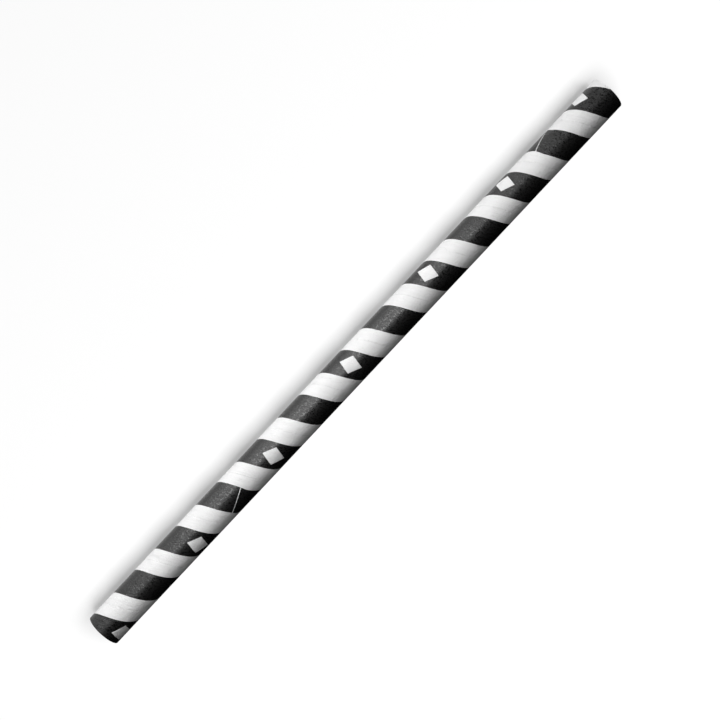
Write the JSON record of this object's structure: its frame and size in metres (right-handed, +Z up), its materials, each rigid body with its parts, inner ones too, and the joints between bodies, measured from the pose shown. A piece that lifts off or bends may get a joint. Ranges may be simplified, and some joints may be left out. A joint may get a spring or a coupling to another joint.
{
  "type": "paper drinking straw",
  "caption": "Straight round drinking straw of wound paper, open at both ends, white with a black helical stripe and white diamonds.",
  "frame": {"origin": "on the supporting plane, under the middle of the straw's length", "axes": "+X along the straw, +Z up; the straw lies on its side"},
  "size_m": [0.197, 0.01, 0.01],
  "materials": {
    "white_paper": "matte",
    "black_print": "satin"
  },
  "bodies": {
    "root": {"paper_tube": "white_paper", "printed_stripe": "black_print"}
  },
  "joints": []
}
